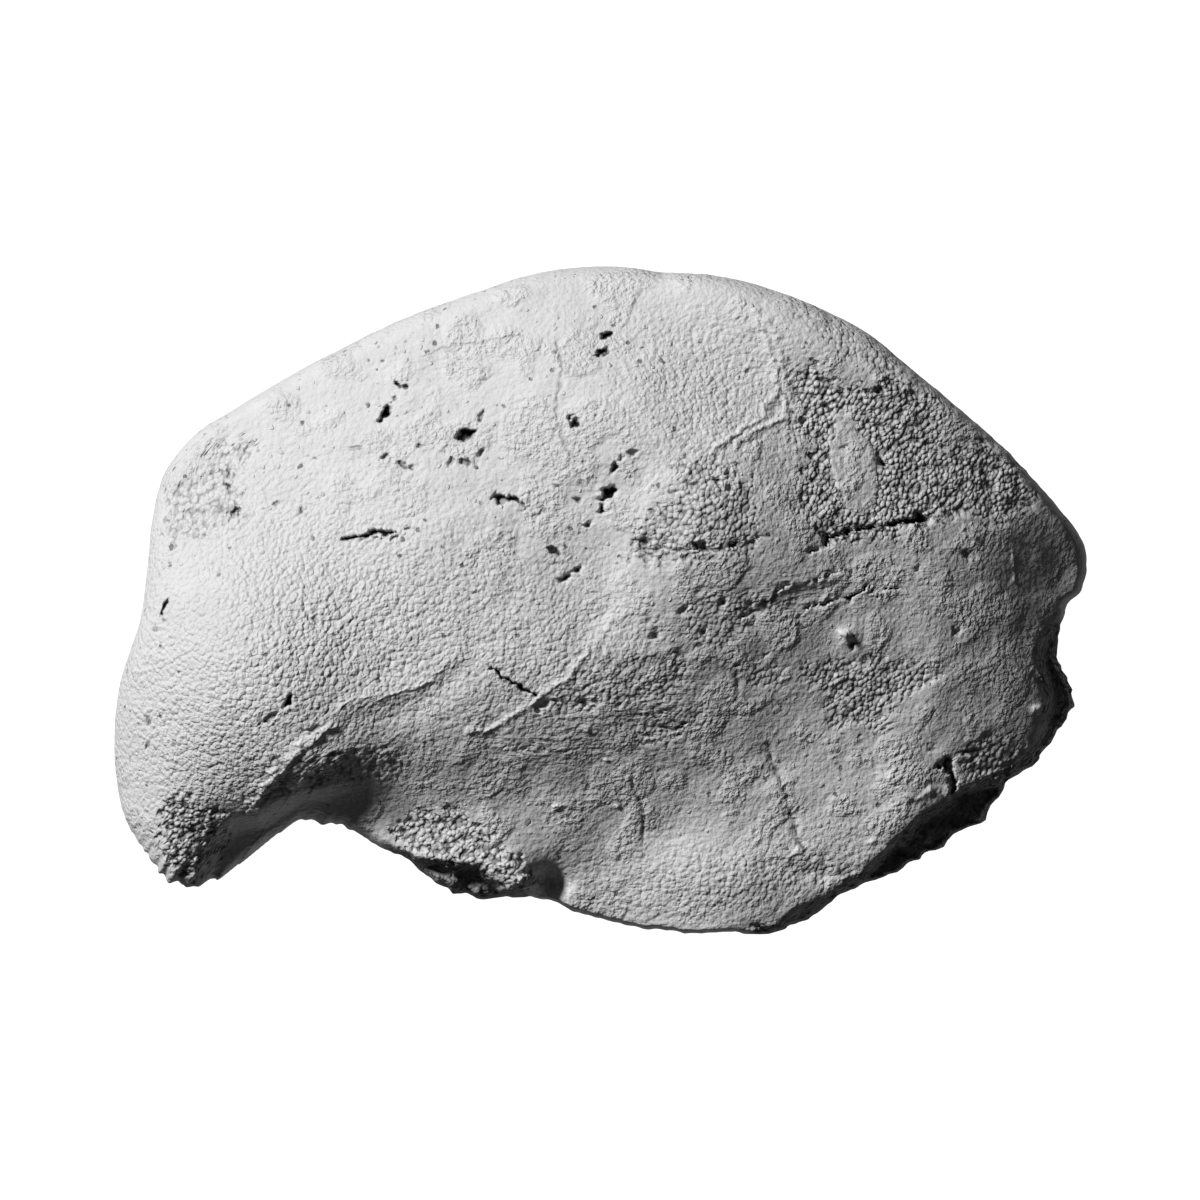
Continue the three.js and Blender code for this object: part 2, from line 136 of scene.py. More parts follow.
# Broken edges: drop, width of the slope, path; the ground right of the path lies lower
BROKEN_EDGES = [
    (1.2, 0.5, [(4.45, -10.9), (6, -10.75), (7.35, -10.05), (9.05, -8.9), (9.95, -8.1), (10.55, -7.35),
                (11.65, -6.6), (12.55, -6.15), (13.4, -5.95), (14.55, -4.9), (14.9, -4), (15, -3.2),
                (14.75, -2.4), (14.6, -1.7), (15, -1), (15.35, -0.3)]),
    (1.0, 0.5, [(-8.2, -7.95), (-7.4, -8.25), (-6.6, -8.4), (-6.05, -8.55), (-5.4, -8.7), (-4.55, -8.8),
                (-3.9, -8.95), (-3.55, -9.2), (-3.2, -9.6), (-2.85, -9.75), (-2.3, -9.75)]),
]

# Steps: drop, width of the slope, how far behind the edge they last, share of the path over which
# they rise at each end, path
LEDGES = [
    (1.4, 0.7, 50, 0.35, [(-13.8, -11.5), (-13.85, -10.3), (-13.8, -9.1), (-13.3, -7.95), (-12.5, -7.2),
                          (-11.65, -7.15), (-10.4, -6.4), (-9.55, -6.25), (-8.45, -6.1), (-7.45, -5.95)]),
    (0.15, 0.3, 1.2, 0.1, [(4.75, -0.1), (5.7, 0.05), (5.9, 0.35), (6.55, 0.6), (8.55, 0.9)]),
    (0.15, 0.3, 1.2, 0.1, [(5.35, -8.5), (6.8, -8.9), (7.9, -9.1)]),
]

# Where the outline is crumbled: x, y, half sizes, turn, how far in and out
CRUMBLED = [
    (15.9, -2.5, 1.6, 3.6, 0, 0.3),
    (12, -8.2, 4.5, 2, 35, 0.28),
    (-5, -9.5, 3, 1.2, 0, 0.17),
    (-13, -9.2, 3, 1.3, 0, 0.28),
    (-10, -7.6, 2.5, 1, 0, 0.15),
    (4, -11.2, 6, 1, 0, 0.12),
    (14, 5, 2.5, 2.5, 0, 0.06),
]

# Hollows of the hidden side, pushed up into the stone: x, y, half sizes, turn, rise
DENTS = [
    (-10, 4, 3, 2, 20, 0.4),
    (8, 5, 3, 2, -25, 0.4),
    (5, -7, 3, 1.5, 20, 0.4),
]

# Worn breaks that cut the hidden side's bulge flat: a point on each, and its slopes
BREAKS = [
    (5, 0, 0.26, 0.06),
    (-7.3, 0, -0.5, 0.05),
    (0, -4, 0.06, -0.55),
    (0, 4.8, -0.04, 0.7),
]


def ease(value, low, high):
    share = np.clip((value - low) / (high - low), 0, 1)
    return share * share * (3 - 2 * share)


def cloud(x, y, size, seed):
    """Soft random height from -1 to 1, in lumps of about the size given"""
    table = np.random.default_rng(seed).uniform(-1, 1, (CELLS, CELLS))
    column, row = np.floor(x / size).astype(int), np.floor(y / size).astype(int)
    u, v = ease(x / size - column, 0, 1), ease(y / size - row, 0, 1)
    total = np.zeros(x.shape)
    for i, j in ((0, 0), (1, 0), (0, 1), (1, 1)):
        weight = (u if i else 1 - u) * (v if j else 1 - v)
        total = total + weight * table[(column + i) % CELLS, (row + j) % CELLS]
    return total


def oval_reach(x, y, form):
    """How far x, y lies from an oval form's centre, where 1 is on the oval"""
    turn = math.radians(form[4])
    u = ((x - form[0]) * math.cos(turn) + (y - form[1]) * math.sin(turn)) / form[2]
    v = ((y - form[1]) * math.cos(turn) - (x - form[0]) * math.sin(turn)) / form[3]
    return np.hypot(u, v)


def mound(x, y, form):
    return form[5] * np.exp(-oval_reach(x, y, form) ** 2)


def along_path(x, y, path, ends=0.1):
    """Distance to a path, the same with a plus sign on its right, and a fade at its two ends"""
    distance = np.full(x.shape, np.inf)
    right = np.zeros(x.shape)
    along = np.zeros(x.shape)
    for i, ((ax, ay), (bx, by)) in enumerate(zip(path, path[1:])):
        dx, dy = bx - ax, by - ay
        share = np.clip(((x - ax) * dx + (y - ay) * dy) / (dx * dx + dy * dy), 0, 1)
        here = np.hypot(x - ax - share * dx, y - ay - share * dy)
        closer = here < distance
        side = np.where((x - ax) * dy - (y - ay) * dx > 0, here, -here)
        distance = np.where(closer, here, distance)
        right = np.where(closer, side, right)
        along = np.where(closer, (i + share) / (len(path) - 1), along)
    return distance, right, ease(np.minimum(along, 1 - along), 0, ends)


def slab(x, y):
    """The gently domed slab that the forms of the convex side stand on"""
    return ROOF_HEIGHT + TILT[0] * x + TILT[1] * y - BEND[0] * x * x - BEND[1] * y * y + TWIST * x * y


def broken_drop(x, y):
    """How far the broken edges drop the surface, and where the broken faces are, from 0 to 1"""
    drop = np.zeros(x.shape)
    face = np.zeros(x.shape)
    chipped = 0.06 * cloud(x, y, 0.55, 15) + 0.06 * cloud(x, y, 0.2, 16)
    for depth, slope, path in BROKEN_EDGES:
        _, right, fade = along_path(x, y, path)
        lower = ease(right + chipped, 0, slope) * fade
        drop = drop + depth * lower
        face = np.maximum(face, ease(lower, 0.02, 0.2))
    for depth, slope, reach, ends, path in LEDGES:
        distance, right, fade = along_path(x, y, path, ends)
        drop = drop + depth * ease(right, 0, slope) * np.exp(-distance / reach) * fade
    return drop, face


def roof(x, y):
    """Height of the convex side before it rolls over at the edge"""
    height = slab(x, y)
    for form in SWELLS:
        height = height + mound(x, y, form)
    for half, rise, path in FOLDS:
        height = height + rise * np.exp(-(along_path(x, y, path)[0] / half) ** 2)
    return height - broken_drop(x, y)[0]


def bow(x):
    """How far the plan's bend towards the lobe moves a point down"""
    return BOW * np.clip(BOW_START - x, 0, None) ** 2


def closed_curve(corners, steps=24):
    """A smooth closed line through the corners, a centripetal Catmull-Rom curve"""
    p1 = np.array(corners, float)
    p0, p2, p3 = np.roll(p1, 1, axis=0), np.roll(p1, -1, axis=0), np.roll(p1, -2, axis=0)
    d0, d1, d2 = (np.sqrt(np.linalg.norm(b - a, axis=1, keepdims=True))
                  for a, b in ((p0, p1), (p1, p2), (p2, p3)))
    leave = ((p1 - p0) / d0 - (p2 - p0) / (d0 + d1) + (p2 - p1) / d1) * d1
    reach = ((p2 - p1) / d1 - (p3 - p1) / (d1 + d2) + (p3 - p2) / d2) * d1
    runs = [p1 + leave * s + (3 * (p2 - p1) - 2 * leave - reach) * s ** 2
            + (2 * (p1 - p2) + leave + reach) * s ** 3 for s in np.arange(steps) / steps]
    return np.stack(runs, axis=1).reshape(-1, 2)


# Directions, reach and hidden guide lines of the outline, from the middles that they fan out from
rim_line = closed_curve(OUTLINE)
rim_bowed = rim_line + np.stack([np.zeros(len(rim_line)), bow(rim_line[:, 0])], axis=1) - ROOF_MIDDLE
rim_angle = np.arctan2(rim_bowed[:, 1], rim_bowed[:, 0])
rim_turn = np.arctan2(rim_line[:, 1] - MIDDLE[1], rim_line[:, 0] - MIDDLE[0]) - rim_angle
rim_turn = (rim_turn + math.pi) % (2 * math.pi) - math.pi
evened = np.ones(2 * EVEN_RUN + 1) / (2 * EVEN_RUN + 1)
rim_turn = np.concatenate([rim_turn[-EVEN_RUN:], rim_turn, rim_turn[:EVEN_RUN]])
rim_turn = np.convolve(rim_turn, evened, "valid")
rim_reach = np.hypot(rim_bowed[:, 0], rim_bowed[:, 1])
rim_order = np.argsort(rim_angle)
rim_angle, rim_reach, rim_turn = rim_angle[rim_order], rim_reach[rim_order], rim_turn[rim_order]


def place(ball):
    """Where each point of a unit ball lands on the stone, seen from above, and how it got there.

    The upper half of the ball makes the convex side, the lower half the hidden one.
    """
    angle = np.arctan2(ball[:, 1], ball[:, 0])
    edge = np.interp(angle, rim_angle, rim_reach, period=2 * math.pi)
    edge_x = ROOF_MIDDLE[0] + edge * np.cos(angle)
    edge_y = ROOF_MIDDLE[1] + edge * np.sin(angle) - bow(edge_x)
    crumble = RAGGED_EDGE + sum(mound(edge_x, edge_y, form) for form in CRUMBLED)
    chips = 0.3 * cloud(edge_x, edge_y, 0.5, 11) + 0.35 * cloud(edge_x, edge_y, 0.2, 12)
    edge = edge + crumble * chips
    edge_x = ROOF_MIDDLE[0] + edge * np.cos(angle)
    edge_y = ROOF_MIDDLE[1] + edge * np.sin(angle) - bow(edge_x)

    upper = ball[:, 2] >= 0
    out = np.sqrt(np.clip(1 - ball[:, 2], 0, 1))
    roll = np.clip((out - ROLL_FROM) / (1 - ROLL_FROM), 0, 1) * math.pi / 2
    band = EDGE_BAND + EDGE_BAND_LIT * np.cos(angle - LIT_TURN)
    flat = np.minimum(out / ROLL_FROM, 1) * (1 - band)
    share = np.where(roll > 0, 1 - band + band * np.sin(roll), flat)
    near_x = ROOF_MIDDLE[0] + share * edge * np.cos(angle)
    near_y = ROOF_MIDDLE[1] + share * edge * np.sin(angle) - bow(near_x)

    under = np.arcsin(np.clip(-ball[:, 2], 0, 1))
    plain = ease(under / (math.pi / 2), 0, OVAL_AT)
    turn = angle + np.interp(angle, rim_angle, rim_turn, period=2 * math.pi)
    oval = 1 / np.hypot(np.cos(turn) / HIDDEN_OVAL[0], np.sin(turn) / HIDDEN_OVAL[1])
    oval_x, oval_y = MIDDLE[0] + oval * np.cos(turn), MIDDLE[1] + oval * np.sin(turn)
    far_x = MIDDLE[0] + np.cos(under) * (edge_x + plain * (oval_x - edge_x) - MIDDLE[0])
    far_y = MIDDLE[1] + np.cos(under) * (edge_y + plain * (oval_y - edge_y) - MIDDLE[1])
    return {
        "upper": upper, "roll": np.where(upper, roll, math.pi / 2), "under": under, "plain": plain,
        "x": np.where(upper, near_x, far_x), "y": np.where(upper, near_y, far_y),
        "edge_x": edge_x, "edge_y": edge_y, "oval_x": oval_x, "oval_y": oval_y,
    }


# The stone's fine forms
# Pits left by dissolved shell, cracks, the double line of the muscle scar, and patches where the
# smooth skin is gone and the rock's packed grains stand bare. All are read off the convex side.
# Pits: x, y, half sizes, turn, depth
PITS = [
    (-4.59, 5.64, 0.3, 0.25, 0, 0.5), (-4.09, 6.22, 0.2, 0.08, 55, 0.2),
    (-7.3, 6.28, 0.34, 0.15, 48, 0.45), (-6.96, 6.79, 0.14, 0.08, 0, 0.15),
    (-6.89, 7.23, 0.17, 0.08, -60, 0.25), (-6.62, 7.2, 0.14, 0.08, 20, 0.2),
    (0.2, 8.92, 0.24, 0.15, 0, 0.3), (0.03, 8.4, 0.34, 0.15, 18, 0.3), (-0.91, 6.05, 0.2, 0.22, 0, 0.3),
    (1.05, 5, 0.17, 0.17, 0, 0.25), (0.68, 4.76, 0.17, 0.1, 40, 0.2), (0.41, 4.46, 0.2, 0.2, 0, 0.25),
    (0.17, 3.61, 0.3, 0.3, 0, 0.6), (-0.03, 3.14, 0.17, 0.07, 60, 0.3),
    (-0.76, 3.41, 0.2, 0.12, -10, 0.2), (-0.47, 2.6, 0.2, 0.17, 30, 0.25),
    (-3.36, 3.45, 0.37, 0.2, 0, 0.35), (-2.91, 3.41, 0.24, 0.14, -40, 0.25),
    (-2.67, 3.21, 0.2, 0.08, -35, 0.2), (-1.62, 1.66, 0.34, 0.2, -50, 0.35),
    (-1.22, 0.81, 0.3, 0.14, 38, 0.3), (-0.81, 1.05, 0.2, 0.14, 40, 0.25),
    (1.45, 1.96, 0.34, 0.24, 20, 0.2), (3.34, 1.82, 0.34, 0.17, -15, 0.25),
    (4.46, 1.79, 0.17, 0.14, 0, 0.2), (3.89, 3.95, 0.2, 0.07, -50, 0.2),
    (4.16, 4.36, 0.2, 0.07, 30, 0.2), (4.29, 3.78, 0.14, 0.14, 0, 0.25),
    (3.18, 3.92, 0.2, 0.14, 10, 0.15), (2.43, 5.78, 0.1, 0.1, 0, 0.15),
    (-5.03, 4.7, 0.14, 0.24, -10, 0.2), (-4.56, 4.7, 0.15, 0.17, 0, 0.2),
    (-4.12, 4.97, 0.17, 0.1, 40, 0.2), (-7.26, 4.9, 0.17, 0.1, 20, 0.2),
    (-6.72, 4.63, 0.2, 0.1, -50, 0.2), (-6.39, 4.56, 0.2, 0.1, 20, 0.2),
    (-6.11, 5.2, 0.1, 0.07, 0, 0.15), (-8.21, 5.1, 0.17, 0.14, 30, 0.12),
    (-10.91, 3.31, 0.14, 0.1, 0, 0.15), (-10.14, 3.01, 0.1, 0.17, 0, 0.15),
    (-12.36, 2.94, 0.3, 0.17, 35, 0.25), (-12.6, 3.82, 0.17, 0.1, -30, 0.2),
    (-12.64, 4.29, 0.08, 0.2, 0, 0.15), (-11.89, 5.2, 0.1, 0.17, 0, 0.12),
    (-14.22, 3.92, 0.1, 0.07, 0, 0.12), (-5.78, 1.72, 0.05, 0.1, 0, 0.12),
    (-14.76, -0.27, 0.3, 0.08, 65, 0.25), (-15.27, -4.12, 0.14, 0.1, 50, 0.15),
    (-15.34, -4.97, 0.2, 0.1, 70, 0.12), (-10.54, -3.41, 0.27, 0.12, 60, 0.3),
    (-11.25, -4.02, 0.41, 0.1, 30, 0.2), (-9.83, -4.36, 0.41, 0.08, 15, 0.15),
    (-9.73, -0.57, 0.17, 0.07, -20, 0.12), (-1.93, -3.51, 0.2, 0.17, 0, 0.2),
    (-2.09, -3.75, 0.17, 0.1, -50, 0.2), (-1.49, -3.41, 0.2, 0.1, 0, 0.15),
    (-0.34, -3.45, 0.47, 0.08, 2, 0.15), (1.76, -1.22, 0.1, 0.17, -20, 0.2),
    (2.53, -1.79, 0.08, 0.14, 0, 0.15), (0.1, -2.36, 0.07, 0.07, 0, 0.12),
    (4.09, -0.03, 0.17, 0.12, 10, 0.2), (1.49, -0.71, 0.1, 0.07, 0, 0.12),
    (0.98, -0.95, 0.1, 0.07, 40, 0.12), (2.77, -0.27, 0.24, 0.1, 20, 0.2),
    (3.51, -0.98, 0.2, 0.08, 25, 0.2), (4.83, -0.57, 0.3, 0.07, 15, 0.15),
    (1.76, -4.53, 0.37, 0.05, 8, 0.12), (1.45, -4.8, 0.17, 0.07, 10, 0.12),
    (6.86, 6.08, 0.24, 0.14, 50, 0.25), (7.6, 6.52, 0.17, 0.14, 0, 0.2),
    (8.21, 5.14, 0.17, 0.1, 50, 0.15), (8.38, 4.29, 0.1, 0.07, -30, 0.12),
    (9.39, 7.09, 0.2, 0.14, 0, 0.2), (9.49, 4.76, 0.1, 0.17, 0, 0.25),
    (10.78, 2.77, 0.27, 0.2, 0, 0.35), (7.6, 2.09, 0.12, 0.3, 0, 0.3), (7.2, 1.66, 0.3, 0.08, 28, 0.2),
    (10.74, 1.05, 0.1, 0.1, 0, 0.15), (12.5, 1.49, 0.2, 0.2, 0, 0.12),
    (11.99, -1.01, 0.2, 0.2, 0, 0.12), (-0.68, -1.82, 0.05, 0.1, 0, 0.1),
    (-1.82, -2.64, 0.07, 0.07, 0, 0.1), (0.47, 7.3, 0.05, 0.14, 0, 0.1),
    (-0.17, 6.15, 0.05, 0.14, 0, 0.1), (4.36, 8.24, 0.14, 0.05, 15, 0.1),
    (1.39, 8.55, 0.1, 0.05, 0, 0.1), (-5.27, 2.03, 0.14, 0.05, 20, 0.1),
    (-2.16, 2.91, 0.17, 0.08, 20, 0.12), (-1.96, 3.14, 0.1, 0.17, -30, 0.12),
    (8.55, -1.52, 0.24, 0.1, 20, 0.25), (11.76, -5.57, 0.14, 0.3, 0, 0.35),
    (11.86, -6.25, 0.12, 0.47, 5, 0.35), (11.49, -5.68, 0.17, 0.1, -30, 0.3),
    (11.15, -5, 0.17, 0.14, 0, 0.1), (-11.96, -1.32, 0.07, 0.05, 0, 0.1),
    (-14.29, -3.58, 0.1, 0.07, 0, 0.1), (-14.39, -4.9, 0.1, 0.07, 0, 0.1),
]

# Cracks and scratches: half width, depth, path
CRACKS = [
    (0.088, 0.3, [(-8.75, 2.16), (-8.21, 2.2), (-7.7, 2.26), (-7.03, 2.36), (-6.35, 2.43)]),
    (0.061, 0.2, [(-7.7, 2.13), (-7.3, 2.06), (-6.82, 2.23)]),
    (0.055, 0.12, [(1.22, 1.82), (1.86, 1.76), (2.7, 1.69), (3.34, 1.72), (3.92, 1.72), (4.49, 1.86),
                  (5.14, 2.06), (5.74, 2.26)]),
    (0.101, 0.35, [(7.36, 1.99), (7.77, 2.2), (8.38, 2.36), (8.89, 2.43), (9.59, 2.53), (10.24, 2.67),
                   (10.95, 2.74)]),
    (0.041, 0.12, [(4.76, -0.14), (5.24, -0.03), (5.71, 0.02), (5.84, 0.27), (6.22, 0.51), (6.82, 0.62),
                   (7.67, 0.88), (8.65, 1.05)]),
    (0.068, 0.2, [(6.82, -0.24), (7.67, -0.03), (8.38, 0.1), (8.85, 0.41), (9.32, 0.37), (10.24, 0.37)]),
    (0.074, 0.3, [(-3.75, -2.26), (-3.38, -2.53), (-2.77, -2.84), (-2.43, -3.04), (-2.06, -3.24)]),
    (0.034, 0.08, [(-8.78, -1.11), (-8.68, -1.52), (-8.65, -1.86)]),
    (0.034, 0.08, [(-3.34, -4.97), (-2.64, -4.93), (-1.76, -4.76)]),
    (0.034, 0.06, [(-3.07, -5.14), (-2.43, -5.1), (-1.86, -4.97)]),
    (0.044, 0.1, [(1.45, -4.12), (1.82, -3.92), (2.16, -3.72)]),
    (0.034, 0.08, [(1.45, -4.76), (2.09, -4.66), (2.8, -4.49)]),
    (0.041, 0.1, [(1.86, -4.22), (2.43, -4.29), (3.04, -4.05)]),
    (0.041, 0.08, [(13.48, 0.24), (13.85, 0.27), (14.26, 0.34)]),
]

# Hairline cracks and faint folds: half width, depth, path
HAIRLINES = [
    (0.05, 0.08, [(1.01, -5.78), (1.05, -6.32), (1.39, -6.89), (1.42, -7.26), (1.4, -8.18), (1.45, -8.89)]),
    (0.055, 0.12, [(5.47, -4.63), (5.74, -5.3), (5.95, -6.01), (6.28, -6.82), (6.49, -7.43), (6.72, -8.18),
                  (6.86, -8.68)]),
    (0.05, 0.1, [(4.53, -2.09), (4.53, -2.57), (4.7, -3.24)]),
    (0.044, 0.04, [(-1.66, 8.95), (-1.42, 8.45), (-1.32, 7.84), (-1.42, 7.03), (-1.52, 6.35),
                   (-1.32, 5.41), (-0.91, 4.8), (-0.68, 4.12), (-0.64, 3.45)]),
    (0.034, 0.03, [(-5.41, 8.38), (-4.56, 8.65), (-3.55, 8.82), (-2.7, 8.89)]),
    (0.03, 0.03, [(-4.73, 8.65), (-3.72, 8.85), (-2.36, 8.92)]),
    (0.034, 0.03, [(-6.15, 8.24), (-5.41, 8.48), (-4.73, 8.58)]),
    (0.034, 0.06, [(0.14, -1.08), (0, -1.52), (-0.2, -1.96), (-0.3, -2.43)]),
]

# Raised lines: half width, rise, path. The first two are the double line of the muscle scar, the
# next two cross the lobe, the fifth runs along the crest
WELTS = [
    (0.09, 0.09, [(5, 10.03), (5.44, 9.16), (5.54, 8.65), (5.78, 8.21), (5.95, 7.26), (5.78, 6.76),
                    (5.2, 6.05), (4.43, 5.54), (3.89, 5.2), (3.38, 4.76)]),
    (0.08, 0.07, [(4.83, 10.24), (5.37, 9.76), (5.95, 8.82), (6.08, 7.94), (6.35, 6.99), (6.15, 6.49),
                   (6.05, 6.08), (5.44, 5.88), (4.59, 5.27), (4.12, 4.86)]),
    (0.044, 0.045, [(-5.1, -1.93), (-5.37, -2.33), (-5.74, -2.64), (-6.25, -2.91), (-6.76, -3.11),
                    (-7.2, -3.21), (-7.7, -3.34), (-8.24, -3.28), (-8.58, -3.38), (-8.82, -3.65),
                    (-8.92, -3.92)]),
    (0.15, 0.12, [(-8.78, -4.12), (-9.12, -4.32), (-9.53, -4.56), (-9.93, -4.8), (-10.34, -5.14),
                   (-10.68, -5.54), (-11.01, -5.95), (-11.42, -6.42), (-11.66, -6.76), (-11.62, -7.26),
                   (-11.55, -7.84)]),
    (0.088, 0.07, [(-0.34, -1.35), (-0.54, -1.86), (-0.88, -2.3), (-1.35, -2.74), (-1.86, -3.11),
                   (-2.3, -3.51), (-2.77, -3.82), (-3.38, -4.12), (-3.89, -4.39), (-4.39, -4.49),
                   (-4.83, -4.46)]),
    (0.03, 0.04, [(8.65, -4.73), (9.12, -5.54), (9.46, -6.15), (9.8, -6.66), (10.07, -7.06)]),
    (0.03, 0.04, [(13.99, 1.55), (13.99, 0.61)]),
    (0.03, 0.04, [(12.67, 2.6), (12.74, 1.86)]),
    (0.101, 0.08, [(9.66, -5.84), (9.97, -6.22), (10.3, -6.59), (10.64, -6.72), (10.98, -6.52),
                   (11.32, -6.32)]),
]

# Small knobs stuck to the surface
KNOBS = [
    (8.28, -1.11, 0.27, 0.17, -20, 0.2), (0.3, -0.68, 0.2, 0.17, 0, 0.1),
    (-1.49, -7.03, 0.27, 0.08, 15, 0.08), (0.61, -6.96, 0.1, 0.1, 0, 0.08),
    (0.14, -5.37, 0.17, 0.08, 15, 0.08), (-0.44, -4.36, 0.14, 0.1, 0, 0.07),
    (-2.64, -9.46, 0.3, 0.24, -20, 0.25), (1.45, -7.16, 0.14, 0.07, 0, 0.06),
    (5.95, -5.3, 0.1, 0.07, 0, 0.05), (6.69, -8.48, 0.27, 0.17, 20, 0.1),
    (14.86, -3.65, 0.17, 0.2, 0, 0.12), (9.12, -8.11, 0.14, 0.1, 0, 0.08),
]

# Bare patches of packed grains: how far the grains stand out, and the patch's outline
PATCHES = [
    (1.0, [(6.69, 7.7), (7.09, 7.94), (7.94, 7.53), (8.04, 7.16), (8.89, 7.16), (9.32, 7.26), (9.59, 7.7),
           (10.27, 7.33), (10.71, 6.99), (11.32, 6.76), (11.55, 6.22), (11.55, 4.93), (12.87, 5.27),
           (14.16, 4.49), (14.56, 3.65), (14.39, 3.11), (13.55, 2.53), (12.67, 2.87), (11.55, 2.94),
           (10.95, 2.5), (9.93, 2.16), (7.67, 1.93), (6.99, 2.94), (6.49, 3.31), (6.82, 4.05), (7.09, 5.2),
           (6.55, 5.61), (6.39, 5.88), (6.72, 6.49), (6.49, 7.09)]),
    (0.5, [(6.55, 9.93), (7.16, 9.83), (8.21, 9.26), (9.43, 8.55), (10.17, 7.87), (9.76, 7.7), (9.05, 8.04),
           (8.21, 8.28), (7.5, 8.65), (7.26, 9.16), (6.55, 9.49)]),
    (0.55, [(-13.51, 5.27), (-12.84, 5.41), (-11.76, 5.34), (-11.82, 4.73), (-12.36, 4.59), (-12.36, 3.92),
           (-12.06, 3.55), (-12.13, 2.94), (-12.53, 2.53), (-13.41, 2.16), (-14.39, 1.79), (-14.86, 2.26),
           (-14.63, 3.99), (-13.65, 4.22), (-13.41, 4.66)]),
    (0.8, [(6.82, -2.33), (7.67, -2.06), (9.43, -1.99), (10.78, -2.23), (11.55, -2.57), (10.95, -2.94),
           (9.76, -3.45), (9.66, -4.22), (8.89, -4.29), (7.67, -4.05), (7.6, -3.28), (7.09, -2.77)]),
    (0.6, [(5.17, -2.16), (5.57, -2.03), (5.98, -2.16), (5.95, -2.77), (5.57, -2.94), (5.2, -2.97)]),
    (0.7, [(2.3, 4.59), (3.28, 4.83), (4.32, 4.59), (5.14, 3.92), (5.41, 2.7), (5.14, 1.66), (3.04, 1.28),
           (0.95, 1.35), (1.15, 2.4), (2.13, 3.31), (2.43, 3.92)]),
    (0.5, [(3.04, 0), (4.05, 0.34), (5.41, 0), (5.24, -0.84), (4.56, -1.69), (3.38, -1.62), (2.7, -0.84)]),
    (0.6, [(-1.86, -3.38), (-0.34, -2.3), (0.84, -1.76), (2.7, -1.86), (3.04, -2.7), (2.03, -3.38),
           (0, -3.58), (-1.35, -3.78)]),
    (0.5, [(1.01, -3.92), (1.86, -3.58), (3.38, -3.51), (3.55, -4.22), (2.7, -4.8), (1.35, -4.9)]),
    (1.0, [(-6.93, -7.5), (-6.08, -7.16), (-4.9, -6.96), (-4.12, -7.7), (-3.21, -8.45), (-2.36, -8.99),
           (-2.09, -9.59), (-2.7, -9.8), (-3.51, -9.19), (-4.39, -8.85), (-5.74, -8.65), (-6.82, -8.38)]),
    (0.9, [(12.23, -4.8), (13.18, -4.56), (14.19, -4.8), (14.53, -5.34), (13.85, -5.91), (13.01, -6.25),
           (12.33, -6.01)]),
    (1.2, [(-14.8, -6.76), (-14.19, -6.49), (-13.01, -7.16), (-12.64, -7.77), (-12.77, -8.38),
           (-13.34, -8.85), (-13.78, -9.46), (-14.46, -9.32), (-14.86, -8.61)]),
    (0.7, [(-12.33, -6.42), (-11.15, -5.41), (-9.46, -5), (-7.43, -4.9), (-6.69, -5.24), (-6.93, -5.81),
           (-9.12, -6.01), (-10.64, -6.59), (-11.99, -7.16)]),
    (0.6, [(6.49, -8.78), (7.77, -8.61), (8.45, -9.19), (7.6, -9.46), (6.59, -9.19)]),
]
# The island of smooth skin left standing inside the first patch
ISLAND = [(7.84, 6.32), (8.45, 6.32), (8.55, 5.81), (9.05, 5.37), (9.39, 4.66), (9.32, 4.05), (9.22, 3.38),
          (8.89, 2.84), (8.28, 3.04), (8.04, 3.82), (7.77, 4.16), (7.77, 4.93), (7.94, 5.81)]

GRAIN = 0.3             # across one clump of grains
GRAIN_RISE = 0.1        # from the gaps to its top
SKIN = 0.05             # thickness of the smooth skin that is gone from the patches
PIT_SHADE_DEPTH = 0.27        # a pit this deep is painted full, nearly black shade inside
CRACK_SHADE_DEPTH = 0.2       # and a crack this deep
LINE_SHADE_DEPTH = 0.1        # and a hairline this deep

# Where fine scratches run side by side: x, y, half sizes, turn, strength
STREAKS = [
    (0.7, -4.1, 3.4, 1.2, 3, 1.0),
    (-2.6, -5, 1.6, 0.4, 5, 1.0),
    (8.3, 0.5, 4, 0.8, 8, 0.8),
    (4.5, -0.5, 2.5, 1.2, 8, 0.6),
    (-4.5, 8.2, 3, 0.6, 10, 0.7),
    (1, -2.6, 2.5, 0.8, 0, 0.6),
]

# Where the skin itself is dimpled like orange peel: x, y, half sizes, turn, strength
PEEL = [
    (-11.5, -1, 5.5, 4.5, 20, 1.0),
    (-6.5, -1, 3.5, 3, 0, 0.5),
    (3.2, 7, 2.8, 3, 0, 0.7),
    (-1, -2, 3, 3, 45, 0.6),
    (-13, -6, 3, 3, 0, 0.5),
    (3.5, -9.5, 6, 1.5, 10, 0.6),
    (9, 6, 5, 4, -40, 0.15),
]


